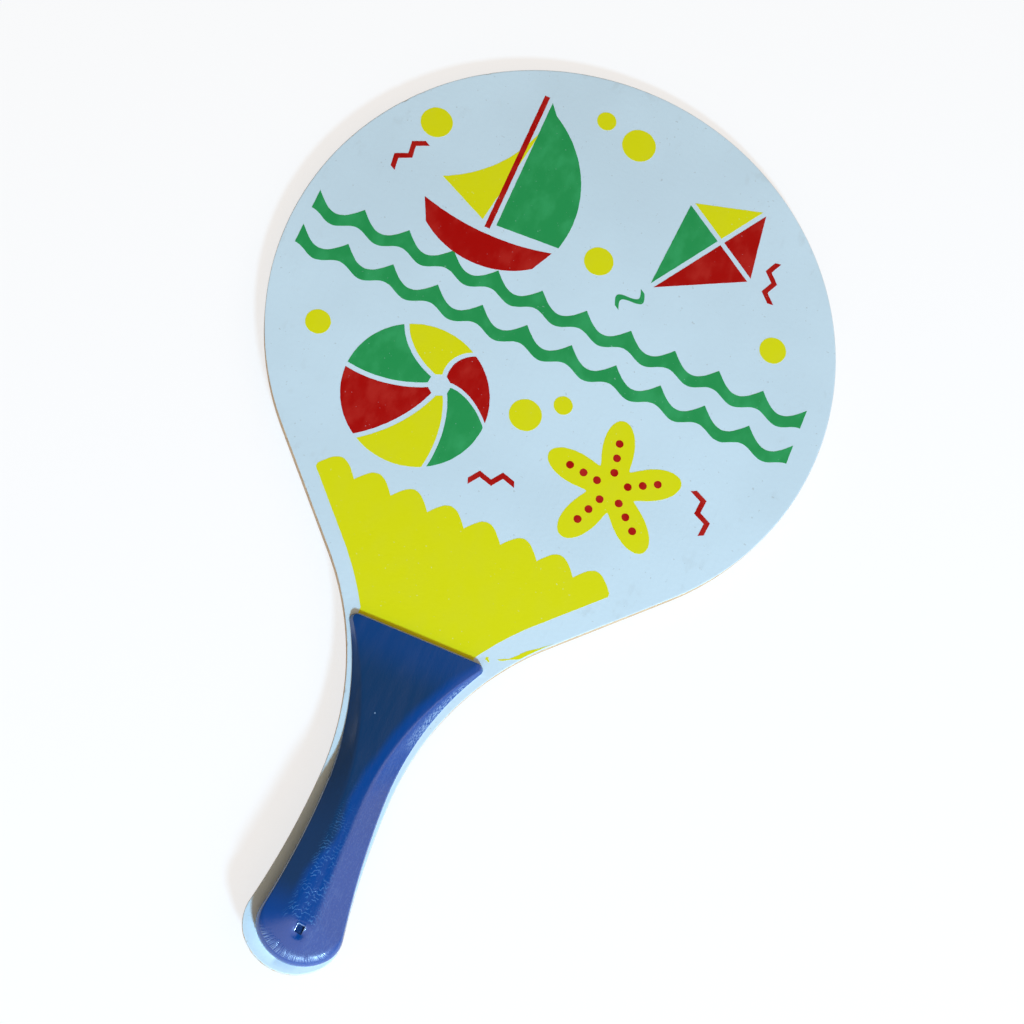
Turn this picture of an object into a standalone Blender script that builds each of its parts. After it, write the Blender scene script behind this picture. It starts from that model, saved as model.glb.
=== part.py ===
"""A wooden beach paddle: a plywood blade with a half-round grip scale nailed to each side of its tang."""

import math

import bmesh
import bpy
from mathutils import Matrix, Vector

# All sizes are in millimetres. Places along the paddle are measured from the end of its butt.
METRES_PER_MM = 0.001

# Blade outline
HEAD_RADIUS = 114.0
FLANK_ANGLE = math.radians(44.2)
NECK_RADIUS = 112.0
WAIST_HALF_WIDTH = 13.75
WAIST_FROM_BUTT = 70.5
FLARE_RADIUS = 295.0
BUTT_CORNER_RADIUS = 15.0
BUTT_BULGE = 1.5

# Plywood sheets
FACE_VENEER_THICKNESS = 1.0
CROSSBAND_THICKNESS = 1.4
CORE_THICKNESS = 1.2

# Grip scales
GRIP_SIDE_MARGIN = 2.45
GRIP_BUTT_MARGIN = 3.7
GRIP_TOP_FROM_BUTT = 130.9
GRIP_TOP_CORNER_RADIUS = 2.3
GRIP_BUTT_CORNER_RADIUS = 10.8
GRIP_BUTT_BULGE = 2.2
CROWN_AT_BUTT = 10.0
CROWN_AT_TOP = 2.3
CROWN_TAPER_FROM_BUTT = 36.0
FRONT_GRIP_SKEW = math.radians(1.5)
SKEW_PIVOT_FROM_BUTT = 99.4

# Land along the crown of a scale
LAND_HALF_WIDTH = 2.7
LAND_WAIST_FROM_BUTT = 58.0
LAND_TO_GRIP_BUTT = 15.3
LAND_TO_GRIP_TOP = 0.4
LAND_TOP_CORNER_RADIUS = 1.5
LAND_NECK_RADIUS = 120.0

# Sides of a scale, from its tall walls near the butt to its thin edges near the neck
SIDE_TAPER_FOOT_FROM_BUTT = 50.0
SIDE_TAPER_TOP_FROM_BUTT = 92.0
WALL_AT_BUTT = 4.0
WALL_AT_NECK = 0.5

# Shoulders above the walls, as shares of their rise and of their width
SLOPE_SHARE_AT_BUTT = 0.5
SLOPE_SHARE_AT_NECK = 1.0
RIDGE_ROUNDING = 0.25
END_ROUNDING = 0.25
SIDE_ROUNDING = 0.08
END_ROUNDING_FROM_BUTT = 8.0
SIDE_ROUNDING_FROM_BUTT = 22.0

# Brads
BRAD_HEAD_WIDTH = 2.6
BRAD_HEAD_DEPTH = 3.0
BRAD_HEAD_THICKNESS = 0.6
BRAD_SHANK_WIDTH = 1.2
BRAD_SHANK_DEPTH = 1.4
BRAD_POINT_LENGTH = 1.5
BRAD_POINT_WIDTH = 0.3
BRAD_CLEARANCE = 0.1
BRAD_TURN = math.radians(-6.0)
LOWER_BRAD_TO_GRIP_BUTT = 12.3
UPPER_BRAD_TO_GRIP_TOP = 14.5
LOWER_BRAD_SINK = 1.6
UPPER_BRAD_SINK = 0.25
BACK_BRAD_SHIFT = 8.0
POINT_TO_FAR_VENEER = 0.4
CUT_OVERSHOOT = 1.0

# Number of straight steps in each curve
HEAD_STEPS = 56
NECK_STEPS = 18
FLARE_STEPS = 8
CORNER_STEPS = 8
END_STEPS = 3
SMALL_CORNER_STEPS = 4
CROWN_STEPS = 7

# Colours
WHITE_PAINT = (0.53, 0.68, 0.78)
BARE_WOOD = (0.62, 0.43, 0.24)
DARK_WOOD = (0.50, 0.33, 0.18)
BLUE_ENAMEL = (0.02, 0.06, 0.27)
STEEL = (0.42, 0.42, 0.44)

# Derived places
FLANK_LENGTH = (
    HEAD_RADIUS * math.cos(FLANK_ANGLE) - WAIST_HALF_WIDTH - NECK_RADIUS * (1 - math.cos(FLANK_ANGLE))
) / math.sin(FLANK_ANGLE)
HEAD_CENTER = Vector(
    (
        0,
        WAIST_FROM_BUTT
        + (NECK_RADIUS + HEAD_RADIUS) * math.sin(FLANK_ANGLE)
        + FLANK_LENGTH * math.cos(FLANK_ANGLE),
    )
)
NECK_CENTER = Vector((WAIST_HALF_WIDTH + NECK_RADIUS, WAIST_FROM_BUTT))
FLARE_CENTER = Vector((WAIST_HALF_WIDTH + FLARE_RADIUS, WAIST_FROM_BUTT))
LENGTH = HEAD_CENTER.y + HEAD_RADIUS
BLADE_THICKNESS = 2 * FACE_VENEER_THICKNESS + 2 * CROSSBAND_THICKNESS + CORE_THICKNESS
BLADE_BOTTOM = CROWN_AT_BUTT
BLADE_TOP = BLADE_BOTTOM + BLADE_THICKNESS


def arc(center, radius, start, end, steps):
    """Points along an arc, both ends included."""
    angles = [start + (end - start) * i / steps for i in range(steps + 1)]
    return [center + radius * Vector((math.cos(a), math.sin(a))) for a in angles]


def line(start, end, steps):
    return [start.lerp(end, i / steps) for i in range(steps + 1)]


def joined(*runs):
    """One run of points from several that meet end to end."""
    points = list(runs[0])
    for run in runs[1:]:
        points += run[1:]
    return points


def both_sides(right):
    """The closed outline whose right half runs from the top of the axis to its bottom."""
    left = [Vector((-p.x, p.y)) for p in reversed(right[1:-1])]
    return right + left


def angle_to(origin, target):
    return math.atan2(target.y - origin.y, target.x - origin.x)


def butt_run(margin, end, corner_radius, bulge):
    """The right side from the waist round to the end of the butt, this far inside the blade's flare."""
    flare_radius = FLARE_RADIUS + margin
    reach = flare_radius + corner_radius
    corner_y = end + corner_radius + bulge
    corner_x = FLARE_CENTER.x - math.sqrt(reach**2 - (WAIST_FROM_BUTT - corner_y) ** 2)
    corner = Vector((corner_x, corner_y))
    end_radius = (corner_x**2 + 2 * corner_radius * bulge + bulge**2) / (2 * bulge)
    end_center = Vector((0, end + end_radius))
    to_corner = angle_to(FLARE_CENTER, corner) % math.tau
    out_of_end = angle_to(end_center, corner)
    flare = arc(FLARE_CENTER, flare_radius, math.pi, to_corner, FLARE_STEPS)
    bend = arc(corner, corner_radius, to_corner - math.pi, out_of_end, CORNER_STEPS)
    tip = arc(end_center, end_radius, out_of_end, -math.pi / 2, END_STEPS)
    return joined(flare, bend, tip)


def top_run(waist, neck_radius, top, corner_radius):
    """The right side from a straight top edge down a neck arc to the waist."""
    neck_center = waist + Vector((neck_radius, 0))
    reach = neck_radius + corner_radius
    corner_y = top - corner_radius
    corner_x = neck_center.x - math.sqrt(reach**2 - (corner_y - waist.y) ** 2)
    corner = Vector((corner_x, corner_y))
    to_neck = angle_to(corner, neck_center)
    edge = [Vector((0, top)), Vector((corner_x, top))]
    bend = arc(corner, corner_radius, math.pi / 2, to_neck, SMALL_CORNER_STEPS)
    neck = arc(neck_center, neck_radius, to_neck + math.pi, math.pi, NECK_STEPS)
    return joined(edge, bend, neck)


def blade_outline():
    head = arc(HEAD_CENTER, HEAD_RADIUS, math.pi / 2, -FLANK_ANGLE, HEAD_STEPS)
    neck = arc(NECK_CENTER, NECK_RADIUS, math.pi - FLANK_ANGLE, math.pi, NECK_STEPS)
    flank = [head[-1], neck[0]]
    butt = butt_run(0, 0, BUTT_CORNER_RADIUS, BUTT_BULGE)
    return both_sides(joined(head, flank, neck, butt))


def grip_outline():
    waist = Vector((WAIST_HALF_WIDTH - GRIP_SIDE_MARGIN, WAIST_FROM_BUTT))
    neck_radius = NECK_RADIUS + GRIP_SIDE_MARGIN
    top = top_run(waist, neck_radius, GRIP_TOP_FROM_BUTT, GRIP_TOP_CORNER_RADIUS)
    butt = butt_run(GRIP_SIDE_MARGIN, GRIP_BUTT_MARGIN, GRIP_BUTT_CORNER_RADIUS, GRIP_BUTT_BULGE)
    return both_sides(joined(top, butt))


def land_outline():
    """The land of the crown, with one point for each point of the grip's outline."""
    waist = Vector((LAND_HALF_WIDTH, LAND_WAIST_FROM_BUTT))
    land_top = GRIP_TOP_FROM_BUTT - LAND_TO_GRIP_TOP
    top = top_run(waist, LAND_NECK_RADIUS, land_top, LAND_TOP_CORNER_RADIUS)
    end = Vector((0, GRIP_BUTT_MARGIN + LAND_TO_GRIP_BUTT + LAND_HALF_WIDTH))
    strip = line(top[-1], Vector((LAND_HALF_WIDTH, end.y)), FLARE_STEPS)
    tip = arc(end, LAND_HALF_WIDTH, 0, -math.pi / 2, CORNER_STEPS + END_STEPS)
    return both_sides(joined(top, strip, tip))


def ring(points, height):
    return [Vector((p.x, p.y, height)) for p in points]


def smooth(value, low, high):
    """0 below low, 1 above high, and a smooth step between."""
    share = min(max((value - low) / (high - low), 0), 1)
    return share * share * (3 - 2 * share)


def crown_height(y):
    lowered = smooth(y, CROWN_TAPER_FROM_BUTT, GRIP_TOP_FROM_BUTT)
    return CROWN_AT_BUTT + (CROWN_AT_TOP - CROWN_AT_BUTT) * lowered


def wall_height(y):
    lowered = smooth(y, SIDE_TAPER_FOOT_FROM_BUTT, SIDE_TAPER_TOP_FROM_BUTT)
    return WALL_AT_BUTT + (WALL_AT_NECK - WALL_AT_BUTT) * lowered


def slope_share(y):
    """How much of a shoulder's rise is a straight slope, and not the rounding of its edge."""
    thinned = smooth(y, SIDE_TAPER_FOOT_FROM_BUTT, SIDE_TAPER_TOP_FROM_BUTT)
    return SLOPE_SHARE_AT_BUTT + (SLOPE_SHARE_AT_NECK - SLOPE_SHARE_AT_BUTT) * thinned


def edge_rounding(y):
    """How far in from the edge the rounding reaches, as a share of the shoulder's width."""
    sideways = smooth(y, END_ROUNDING_FROM_BUTT, SIDE_ROUNDING_FROM_BUTT)
    return END_ROUNDING + (SIDE_ROUNDING - END_ROUNDING) * sideways


def levelled(inset):
    """A straight slope from 0 to 1 whose last stretch bends over to level."""
    steepness = 1 / (1 - RIDGE_ROUNDING / 2)
    if inset < 1 - RIDGE_ROUNDING:
        return steepness * inset
    return 1 - steepness * (1 - inset) ** 2 / (2 * RIDGE_ROUNDING)


def rounded(inset, reach):
    """A quarter of an ellipse from 0 to 1 as far as the reach, and level after it."""
    left = max(1 - inset / reach, 0)
    return math.sqrt(1 - left**2)


def shoulder_point(edge, land, turn):
    """A point of the shoulder, which rounds off from the edge into a slope up to the land."""
    inset = 1 - math.cos(turn)
    place = edge.lerp(land, inset)
    wall = wall_height(place.y)
    slope = slope_share(place.y)
    rise = slope * levelled(inset) + (1 - slope) * rounded(inset, edge_rounding(edge.y))
    return Vector((place.x, place.y, wall + (crown_height(place.y) - wall) * rise))


def scale_rings():
    """Rings from the flat back of a scale up its wall and over its rounded shoulders to the land."""
    edge = grip_outline()
    land = land_outline()
    rings = [ring(edge, 0)]
    for i in range(CROWN_STEPS + 1):
        turn = math.pi / 2 * i / CROWN_STEPS
        rings.append([shoulder_point(e, f, turn) for e, f in zip(edge, land)])
    return rings


def oblong(width, depth, height, place):
    """The corners of a turned rectangle about a brad's place."""
    turn = Matrix.Rotation(BRAD_TURN, 2)
    corners = [Vector((sx * width / 2, sy * depth / 2)) for sx, sy in ((-1, -1), (1, -1), (1, 1), (-1, 1))]
    return ring([place + turn @ corner for corner in corners], height)


def brad_rings(place, sink):
    head_top = crown_height(place.y) - sink
    seat = head_top - BRAD_HEAD_THICKNESS
    point = FACE_VENEER_THICKNESS + POINT_TO_FAR_VENEER - BLADE_THICKNESS
    return [
        oblong(BRAD_POINT_WIDTH, BRAD_POINT_WIDTH, point, place),
        oblong(BRAD_SHANK_WIDTH, BRAD_SHANK_DEPTH, point + BRAD_POINT_LENGTH, place),
        oblong(BRAD_SHANK_WIDTH, BRAD_SHANK_DEPTH, seat, place),
        oblong(BRAD_HEAD_WIDTH, BRAD_HEAD_DEPTH, seat, place),
        oblong(BRAD_HEAD_WIDTH, BRAD_HEAD_DEPTH, head_top, place),
    ]


def brad_hole_rings(place, sink):
    gap = 2 * BRAD_CLEARANCE
    seat = crown_height(place.y) - sink - BRAD_HEAD_THICKNESS
    shank = (BRAD_SHANK_WIDTH + gap, BRAD_SHANK_DEPTH + gap)
    pit = (BRAD_HEAD_WIDTH + gap, BRAD_HEAD_DEPTH + gap)
    return [
        oblong(*shank, -BLADE_THICKNESS - CUT_OVERSHOOT, place),
        oblong(*shank, seat, place),
        oblong(*pit, seat, place),
        oblong(*pit, CROWN_AT_BUTT + CUT_OVERSHOOT, place),
    ]


def cap_across(shape, row):
    """Closes a ring that is the same on both sides of the axis with level strips from side to side."""
    last = len(row) // 2
    shape.faces.new((row[0], row[1], row[2], row[-2], row[-1]))
    for i in range(2, last - 1):
        shape.faces.new((row[i], row[i + 1], row[-i - 1], row[-i]))
    shape.faces.new((row[last - 1], row[last], row[last + 1]))


def cap_flat(shape, row):
    shape.faces.new(row)


def add_loft(name, rings, matrix, cap=cap_flat):
    """One closed body through rings of equal count, placed in the shared frame."""
    shape = bmesh.new()
    rows = [[shape.verts.new(point) for point in points] for points in rings]
    count = len(rows[0])
    for lower, upper in zip(rows, rows[1:]):
        for i in range(count):
            j = (i + 1) % count
            shape.faces.new((lower[i], lower[j], upper[j], upper[i]))
    cap_flat(shape, rows[0])
    cap(shape, rows[-1])
    bmesh.ops.recalc_face_normals(shape, faces=shape.faces)
    to_frame = Matrix.Scale(METRES_PER_MM, 4) @ Matrix.Translation((0, -LENGTH / 2, 0))
    shape.transform(to_frame @ matrix)
    mesh = bpy.data.meshes.new(name)
    shape.to_mesh(mesh)
    shape.free()
    body = bpy.data.objects.new(name, mesh)
    bpy.context.scene.collection.objects.link(body)
    return body


def paint(body, colour, roughness, metallic=0.0):
    material = bpy.data.materials.new(body.name)
    material.use_nodes = True
    shader = material.node_tree.nodes["Principled BSDF"]
    shader.inputs["Base Color"].default_value = (*colour, 1)
    shader.inputs["Roughness"].default_value = roughness
    shader.inputs["Metallic"].default_value = metallic
    body.data.materials.append(material)


def cut(body, cutter):
    hole = body.modifiers.new(cutter.name, "BOOLEAN")
    hole.operation = "DIFFERENCE"
    hole.solver = "EXACT"
    hole.object = cutter


def add_plies():
    """The five sheets of the blade, from the back face to the front face."""
    sheets = (
        ("back_face_veneer", FACE_VENEER_THICKNESS, WHITE_PAINT),
        ("back_crossband", CROSSBAND_THICKNESS, DARK_WOOD),
        ("core_veneer", CORE_THICKNESS, BARE_WOOD),
        ("front_crossband", CROSSBAND_THICKNESS, DARK_WOOD),
        ("front_face_veneer", FACE_VENEER_THICKNESS, WHITE_PAINT),
    )
    outline = blade_outline()
    low = BLADE_BOTTOM
    plies = {}
    for name, thickness, colour in sheets:
        rings = [ring(outline, low), ring(outline, low + thickness)]
        plies[name] = add_loft(name, rings, Matrix())
        paint(plies[name], colour, 0.5)
        low += thickness
    return plies


def add_grip(side, matrix, brad_shift, pierced):
    """A scale, its two brads, and their holes through the scale and the sheets that they pierce."""
    scale = add_loft(f"{side}_grip_scale", scale_rings(), matrix, cap_across)
    paint(scale, BLUE_ENAMEL, 0.3)
    lower = Vector((0, GRIP_BUTT_MARGIN + LOWER_BRAD_TO_GRIP_BUTT + brad_shift))
    upper = Vector((0, GRIP_TOP_FROM_BUTT - UPPER_BRAD_TO_GRIP_TOP - brad_shift))
    for level, place, sink in (("lower", lower, LOWER_BRAD_SINK), ("upper", upper, UPPER_BRAD_SINK)):
        brad = add_loft(f"{side}_{level}_brad", brad_rings(place, sink), matrix)
        paint(brad, STEEL, 0.4, 1.0)
        cutter = add_loft(f"{side}_{level}_brad_hole", brad_hole_rings(place, sink), matrix)
        cutter.hide_render = True
        cutter.display_type = "WIRE"
        for body in (scale, *pierced):
            cut(body, cutter)


def turned_about(matrix, point):
    return Matrix.Translation(point) @ matrix @ Matrix.Translation(-point)


def main():
    for old in list(bpy.data.objects):
        bpy.data.objects.remove(old)
    plies = add_plies()
    inner = [plies["front_crossband"], plies["core_veneer"], plies["back_crossband"]]
    pivot = Vector((0, SKEW_PIVOT_FROM_BUTT, 0))
    skew = turned_about(Matrix.Rotation(FRONT_GRIP_SKEW, 4, "Z"), pivot)
    front = Matrix.Translation((0, 0, BLADE_TOP)) @ skew
    back = Matrix.Translation((0, 0, BLADE_BOTTOM)) @ Matrix.Rotation(math.pi, 4, "Y")
    add_grip("front", front, 0, [plies["front_face_veneer"], *inner])
    add_grip("back", back, BACK_BRAD_SHIFT, [plies["back_face_veneer"], *inner])


main()
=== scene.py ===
"""Looks of the wooden beach paddle: worn painted faces, a beach print and enamelled grips."""

import math
from typing import NamedTuple

import bmesh
import bpy
from mathutils import Euler, Matrix, Vector, noise


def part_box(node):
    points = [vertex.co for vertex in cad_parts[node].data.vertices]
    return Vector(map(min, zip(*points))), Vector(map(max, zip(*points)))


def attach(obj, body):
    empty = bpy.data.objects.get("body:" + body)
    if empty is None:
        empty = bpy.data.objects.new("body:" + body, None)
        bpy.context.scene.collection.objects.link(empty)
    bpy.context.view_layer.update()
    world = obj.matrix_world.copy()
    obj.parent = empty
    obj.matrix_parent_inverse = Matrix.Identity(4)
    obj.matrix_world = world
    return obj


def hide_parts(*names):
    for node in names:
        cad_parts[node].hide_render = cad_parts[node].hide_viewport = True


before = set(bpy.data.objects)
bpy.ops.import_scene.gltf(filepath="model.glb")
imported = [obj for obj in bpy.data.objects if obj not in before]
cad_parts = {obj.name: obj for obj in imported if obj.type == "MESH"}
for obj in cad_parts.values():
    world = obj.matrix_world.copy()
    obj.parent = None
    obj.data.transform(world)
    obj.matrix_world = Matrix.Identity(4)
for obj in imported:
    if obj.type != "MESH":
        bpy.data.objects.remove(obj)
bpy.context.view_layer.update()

# Sizes are in millimetres. Places along the paddle are measured from the end of its butt, and
# heights on either side from the face of the blade on that side.
METRES_PER_MM = 0.001
BODY = "root"

# Blade, from the frame
VENEER_LOW, VENEER_HIGH = [corner / METRES_PER_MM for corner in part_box("front_face_veneer")]
BUTT_Y = VENEER_LOW.y
LENGTH = VENEER_HIGH.y - VENEER_LOW.y
FRONT_FACE = VENEER_HIGH.z
BACK_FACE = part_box("back_face_veneer")[0].z / METRES_PER_MM
BLADE_MIDDLE = (FRONT_FACE + BACK_FACE) / 2
BLADE_THICKNESS = FRONT_FACE - BACK_FACE
VENEER_THICKNESS = VENEER_HIGH.z - VENEER_LOW.z

# Blade outline
HEAD_RADIUS = VENEER_HIGH.x
HEAD_Y = LENGTH - HEAD_RADIUS
FLANK_ANGLE = math.radians(44.2)
NECK_RADIUS = 112.0
WAIST_HALF_WIDTH = 13.75
WAIST_FROM_BUTT = 70.5
FLARE_RADIUS = 295.0
BUTT_CORNER_RADIUS = 15.0
BUTT_BULGE = 1.5
FLARE_CENTER = Vector((WAIST_HALF_WIDTH + FLARE_RADIUS, WAIST_FROM_BUTT))
HEAD_CENTER = Vector((0, HEAD_Y))

# Rim of a painted face
RIM_RADIUS = 0.35
RIM_WAVER = 0.15
RIM_LEAST = 0.15
RIM_MOST = 0.85
RIM_WAVER_TURNS = (0.06, 0.06)
CHIP_START = 0.45
CHIP_SIZE = 1.6
CHIP_TURNS = (0.22, 0.22)
CHIP_SEED = 9
RIM_STEPS = 4
RIM_FLAT = 0.4

# Grip scales
GRIP_SIDE_MARGIN = 2.45
GRIP_BUTT_MARGIN = 3.7
GRIP_TOP_FROM_BUTT = 130.9
GRIP_TOP_CORNER_RADIUS = 2.3
GRIP_BUTT_CORNER_RADIUS = 10.8
GRIP_BUTT_BULGE = 2.2
FRONT_GRIP_SKEW = math.radians(1.5)
SKEW_PIVOT_FROM_BUTT = 99.4
LAND_HALF_WIDTH = 2.7
LAND_WAIST_FROM_BUTT = 58.0
LAND_TO_GRIP_BUTT = 15.3
LAND_TO_GRIP_TOP = 0.4
LAND_TOP_CORNER_RADIUS = 1.5
LAND_NECK_RADIUS = 120.0

# Tapers of a scale: where each starts and ends, and its values there
SIDE_TAPER = (50.0, 92.0)
WALL_HEIGHT = (*SIDE_TAPER, 4.0, 0.5)
CROWN_HEIGHT = (36.0, GRIP_TOP_FROM_BUTT, 10.0, 2.3)

# Shoulders: the slope as a share of their rise, and the roundings as shares of their width
SLOPE_SHARE = (*SIDE_TAPER, 0.5, 1.0)
EDGE_ROUNDING = (8.0, 22.0, 0.25, 0.08)
RIDGE_ROUNDING = 0.25

# Brads and their pits
BRAD_HEAD = (2.6, 3.0, 0.6)
BRAD_SHANK = (1.2, 1.4)
BRAD_CLEARANCE = 0.03
BRAD_TURN = math.radians(-6.0)
LOWER_BRAD_FROM_BUTT = 16.0
UPPER_BRAD_FROM_BUTT = 116.4
LOWER_BRAD_SINK = 1.6
UPPER_BRAD_SINK = 0.25
BACK_BRAD_SHIFT = 8.0
SKIN_OVER_BRAD = 0.05
PIT_SIDE_FLARE = 0.02
PIT_TOP_FLARE = 0.1
CUT_OVERSHOOT = 1.0
SHANK_HOLE = [side + 2 * BRAD_CLEARANCE for side in BRAD_SHANK]
HEAD_HOLE = [side + 2 * BRAD_CLEARANCE for side in BRAD_HEAD[:2]]

# Steps of the finer curves
HEAD_STEPS = 240
NECK_STEPS = 110
FLARE_STEPS = 110
CORNER_STEPS = 30
END_STEPS = 24
SMALL_CORNER_STEPS = 10
TOP_STEPS = 9
SHOULDER_STEPS = 26


def toward(angle):
    return Vector((math.cos(angle), math.sin(angle)))


def arc(center, radius, start, end, steps):
    """Points along an arc, both ends included."""
    angles = [start + (end - start) * i / steps for i in range(steps + 1)]
    return [center + radius * toward(angle) for angle in angles]


def shares(steps):
    return [i / steps for i in range(steps + 1)]


def line(start, end, steps):
    return [start.lerp(end, share) for share in shares(steps)]


def joined(*runs):
    """One run of points from several that meet end to end."""
    points = list(runs[0])
    for run in runs[1:]:
        points += run[1:]
    return points


def mirrored(right):
    return [Vector((-p.x, p.y)) for p in reversed(right)]


def both_sides(right):
    """The closed outline whose right half runs from the top of the axis to its bottom."""
    return right + mirrored(right[1:-1])


def angle_to(origin, target):
    return math.atan2(target.y - origin.y, target.x - origin.x)


def smooth(value, low, high, start=0, end=1):
    """A smooth step from start, below low, to end, above high."""
    share = min(max((value - low) / (high - low), 0), 1)
    step = share * share * (3 - 2 * share)
    return start + (end - start) * step


def bell(value, middle, width):
    return math.exp(-(((value - middle) / width) ** 2))


def butt_run(margin, end, corner_radius, bulge):
    """The right side from the waist round to the end of the butt, this far inside the blade's flare."""
    flare_radius = FLARE_RADIUS + margin
    reach = flare_radius + corner_radius
    corner_y = end + corner_radius + bulge
    corner_x = FLARE_CENTER.x - math.sqrt(reach**2 - (WAIST_FROM_BUTT - corner_y) ** 2)
    corner = Vector((corner_x, corner_y))
    end_radius = (corner_x**2 + 2 * corner_radius * bulge + bulge**2) / (2 * bulge)
    end_center = Vector((0, end + end_radius))
    to_corner = angle_to(FLARE_CENTER, corner) % math.tau
    out_of_end = angle_to(end_center, corner)
    flare = arc(FLARE_CENTER, flare_radius, math.pi, to_corner, FLARE_STEPS)
    bend = arc(corner, corner_radius, to_corner - math.pi, out_of_end, CORNER_STEPS)
    tip = arc(end_center, end_radius, out_of_end, -math.pi / 2, END_STEPS)
    return joined(flare, bend, tip)


def top_run(waist, neck_radius, top, corner_radius):
    """The right side from a straight top edge down a neck arc to the waist."""
    neck_center = waist + Vector((neck_radius, 0))
    reach = neck_radius + corner_radius
    corner_y = top - corner_radius
    corner_x = neck_center.x - math.sqrt(reach**2 - (corner_y - waist.y) ** 2)
    corner = Vector((corner_x, corner_y))
    to_neck = angle_to(corner, neck_center)
    edge = line(Vector((0, top)), Vector((corner_x, top)), TOP_STEPS)
    bend = arc(corner, corner_radius, math.pi / 2, to_neck, SMALL_CORNER_STEPS)
    neck = arc(neck_center, neck_radius, to_neck + math.pi, math.pi, NECK_STEPS)
    return joined(edge, bend, neck)


def head_run(inset):
    """The right side from the tip of the head to the waist, this far inside the blade."""
    head = arc(HEAD_CENTER, HEAD_RADIUS - inset, math.pi / 2, -FLANK_ANGLE, HEAD_STEPS)
    neck_center = Vector((WAIST_HALF_WIDTH + NECK_RADIUS, WAIST_FROM_BUTT))
    neck = arc(neck_center, NECK_RADIUS + inset, math.pi - FLANK_ANGLE, math.pi, NECK_STEPS)
    flank = line(head[-1], neck[0], END_STEPS)
    return joined(head, flank, neck)


def turned_about(matrix, point):
    return Matrix.Translation(point) @ matrix @ Matrix.Translation(-point)


TO_FRAME = Matrix.Scale(METRES_PER_MM, 4) @ Matrix.Translation((0, BUTT_Y, 0))
FRONT = TO_FRAME @ Matrix.Translation((0, 0, FRONT_FACE))
BACK = TO_FRAME @ Matrix.Translation((0, 0, BACK_FACE)) @ Matrix.Rotation(math.pi, 4, "Y")
SKEW_PIVOT = Vector((0, SKEW_PIVOT_FROM_BUTT, 0))


# Meshes

SHARP_ANGLE = math.radians(50)
CORNERS = ((-1, -1), (1, -1), (1, 1), (-1, 1))


def add_object(name, shape, matrix):
    """A smoothly shaded object from a bmesh in millimetres, put in the frame by the matrix."""
    bmesh.ops.recalc_face_normals(shape, faces=shape.faces)
    shape.transform(matrix)
    mesh = bpy.data.meshes.new(name)
    shape.to_mesh(mesh)
    shape.free()
    mesh.shade_smooth()
    mesh.set_sharp_from_angle(angle=SHARP_ANGLE)
    body = bpy.data.objects.new(name, mesh)
    bpy.context.scene.collection.objects.link(body)
    return body


def add_rows(shape, rings):
    """Rows of vertices through rings of equal count, joined by faces."""
    rows = [[shape.verts.new(point) for point in points] for points in rings]
    count = len(rows[0])
    for lower, upper in zip(rows, rows[1:]):
        for i in range(count):
            j = (i + 1) % count
            shape.faces.new((lower[i], lower[j], upper[j], upper[i]))
    return rows


def ring(points, height):
    return [Vector((p.x, p.y, height)) for p in points]


def add_closed(shape, rings):
    rows = add_rows(shape, rings)
    shape.faces.new(rows[0])
    shape.faces.new(rows[-1])


def add_loft(name, rings, matrix):
    shape = bmesh.new()
    add_closed(shape, rings)
    return add_object(name, shape, matrix)


def carve(body, cutter):
    """Cuts one object from another for good, and removes the cutter."""
    hole = body.modifiers.new("hole", "BOOLEAN")
    hole.operation = "DIFFERENCE"
    hole.solver = "EXACT"
    hole.object = cutter
    graph = bpy.context.evaluated_depsgraph_get()
    old = body.data
    body.data = bpy.data.meshes.new_from_object(body.evaluated_get(graph))
    body.data.name = body.name
    body.modifiers.clear()
    bpy.data.meshes.remove(old)
    bpy.data.objects.remove(cutter)


def oblong(width, depth, height, place):
    """The corners of a turned rectangle about a brad's place."""
    turn = Matrix.Rotation(BRAD_TURN, 2)
    corners = [Vector((x * width / 2, y * depth / 2)) for x, y in CORNERS]
    return ring([place + turn @ corner for corner in corners], height)


# Painted faces of the blade


def blade_outline():
    return both_sides(joined(head_run(0), butt_run(0, 0, BUTT_CORNER_RADIUS, BUTT_BULGE)))


def inward(points):
    """A unit vector into the outline at each point of a clockwise outline."""
    count = len(points)
    along = [points[(i + 1) % count] - points[i - 1] for i in range(count)]
    return [Vector((step.y, -step.x)).normalized() for step in along]


def noise_at(point, turns, seed):
    """Smooth noise with this many turns to a millimetre across and along."""
    across, along = turns
    return noise.noise(Vector((point.x * across, point.y * along, seed)))


def rim_radius(point, seed):
    """How far the rim is rounded at a point: a little everywhere, more where it is chipped."""
    waver = noise_at(point, RIM_WAVER_TURNS, seed)
    chip = noise_at(point, CHIP_TURNS, seed + CHIP_SEED)
    radius = RIM_RADIUS + RIM_WAVER * waver + CHIP_SIZE * max(chip - CHIP_START, 0)
    return min(max(radius, RIM_LEAST), RIM_MOST)


def add_face(name, matrix, seed):
    """A face veneer with a worn rim. Heights run down from the face into the blade."""
    outline = blade_outline()
    inside = inward(outline)
    radii = [rim_radius(point, seed) for point in outline]
    rings = [ring(outline, -VENEER_THICKNESS)]
    for step in range(RIM_STEPS + 1):
        turn = math.pi / 2 * step / RIM_STEPS
        rows = zip(outline, inside, radii)
        rings.append([(p + n * r * (1 - math.cos(turn))).to_3d() for p, n, r in rows])
        for point, r in zip(rings[-1], radii):
            point.z = r * (math.sin(turn) - 1)
    rings.append([(p + n * (r + RIM_FLAT)).to_3d() for p, n, r in zip(outline, inside, radii)])
    return add_loft(name, rings, matrix)


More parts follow.
